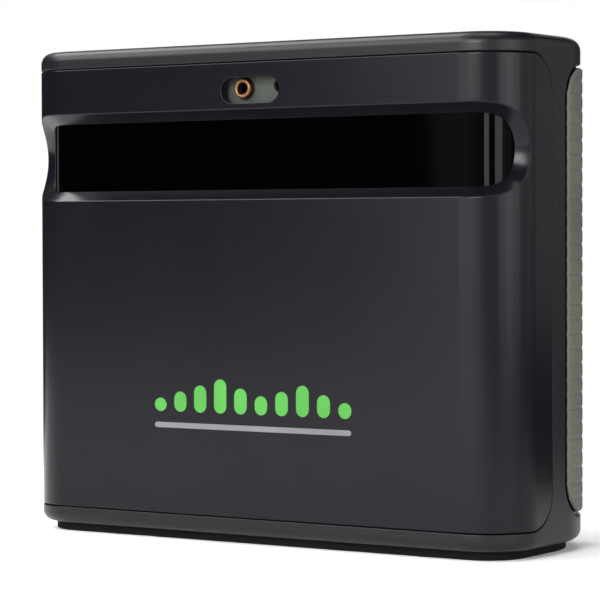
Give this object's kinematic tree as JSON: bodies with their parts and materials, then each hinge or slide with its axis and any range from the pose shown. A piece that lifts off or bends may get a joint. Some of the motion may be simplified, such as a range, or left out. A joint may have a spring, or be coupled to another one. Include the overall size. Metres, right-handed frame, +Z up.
{
  "type": "launch monitor",
  "caption": "Upright box-shaped golf launch monitor with a smoked wrap-around camera window, an aiming laser opening, rubber side grips and a levelling foot.",
  "frame": {"origin": "middle of the footprint on the resting face", "axes": "+X to the right seen from the front, -Y out of the front face, +Z up"},
  "size_m": [0.1722, 0.0636, 0.146],
  "materials": {
    "case_front": "fine moulded satin texture",
    "case_rear": "fine moulded texture, slightly rougher than the front",
    "smoked_window": "polished smoked acrylic",
    "foam": "closed-cell rubber",
    "grip_rubber": "ribbed soft-touch rubber",
    "base_rubber": "matte rubber",
    "label": "blank satin label",
    "button": "soft-touch",
    "light_pipe": "frosted polycarbonate",
    "plated_steel": "nickel plated",
    "circuit_board": "solder mask",
    "camera_circuit": "solder mask",
    "white_board": "white solder mask",
    "black_plastic": "moulded",
    "led_package": "phosphor and clear resin",
    "cream_plastic": "nylon",
    "zinc_screw": "zinc plated",
    "cell_sleeve": null,
    "battery_wrap": "heat-shrink sleeve",
    "lead_insulation": "silicone insulation",
    "optics_plastic": "glass-filled, anti-reflection black",
    "black_anodised": "black anodised",
    "lens_glass": "coated",
    "polyimide": "flexible circuit",
    "mirror_plastic": "vacuum metallised",
    "aluminium_sink": "extruded",
    "laser_brass": "turned",
    "laser_glass": "red collimator",
    "laser_plate": "grey-green primer",
    "black_screw": "black oxide",
    "wheel_plastic": "knurled",
    "antenna_copper": "printed film antenna"
  },
  "bodies": {
    "case": {"front_shell": "case_front", "rear_housing": "case_rear", "camera_window": "smoked_window", "window_gasket": "foam", "seam_gasket": "foam", "side_grip_left": "grip_rubber", "side_grip_right": "grip_rubber", "base_pad": "base_rubber", "rating_label": "label", "status_light_pipes": "light_pipe", "usb_connector": "plated_steel", "io_board": "circuit_board", "tact_switch": "black_plastic", "status_leds": "led_package", "main_board": "circuit_board", "board_chips": "black_plastic", "shield_can": "plated_steel", "board_sockets": "cream_plastic", "board_screws": "zinc_screw", "battery_cells": "cell_sleeve", "battery_wrap": "battery_wrap", "battery_cradle": "black_plastic", "battery_leads": "lead_insulation", "optics_chassis": "optics_plastic", "chassis_screws": "zinc_screw", "camera_board_left": "camera_circuit", "camera_board_right": "camera_circuit", "lens_holder_left": "black_plastic", "lens_holder_right": "black_plastic", "lens_barrel_left": "black_anodised", "lens_barrel_right": "black_anodised", "lens_glass_left": "lens_glass", "lens_glass_right": "lens_glass", "camera_flex_left": "polyimide", "camera_flex_right": "polyimide", "flash_board": "white_board", "flash_leds": "led_package", "flash_reflector": "mirror_plastic", "flash_heat_sink": "aluminium_sink", "laser_barrel": "laser_brass", "laser_lens": "laser_glass", "laser_bracket": "laser_plate", "case_screws": "black_screw", "case_inserts": "laser_brass", "foot_bridge": "black_plastic", "foot_bridge_screws": "zinc_screw", "wifi_antenna": "antenna_copper"},
    "button": {"power_button": "button"},
    "wheel": {"levelling_wheel": "wheel_plastic"},
    "foot": {"foot_stud": "plated_steel", "foot_tip": "base_rubber"}
  },
  "joints": [
    {"name": "power_press", "type": "slide", "parent": "case", "child": "button", "axis": [0, -1, 0], "range_m": [0, 0.0008], "stiffness_N_per_m": 1200},
    {"name": "wheel_turn", "type": "hinge", "parent": "case", "child": "wheel", "pos_m": [0, 0.018, 0.0091], "axis": [0, 0, 1], "range_deg": [0, 1800]},
    {"name": "foot_slide", "type": "slide", "parent": "case", "child": "foot", "axis": [0, 0, -1], "range_m": [0, 0.0063]}
  ],
  "couplings": [
    {"joint": "foot_slide", "follows": "wheel_turn", "m_per_rad": 0.00019894}
  ]
}
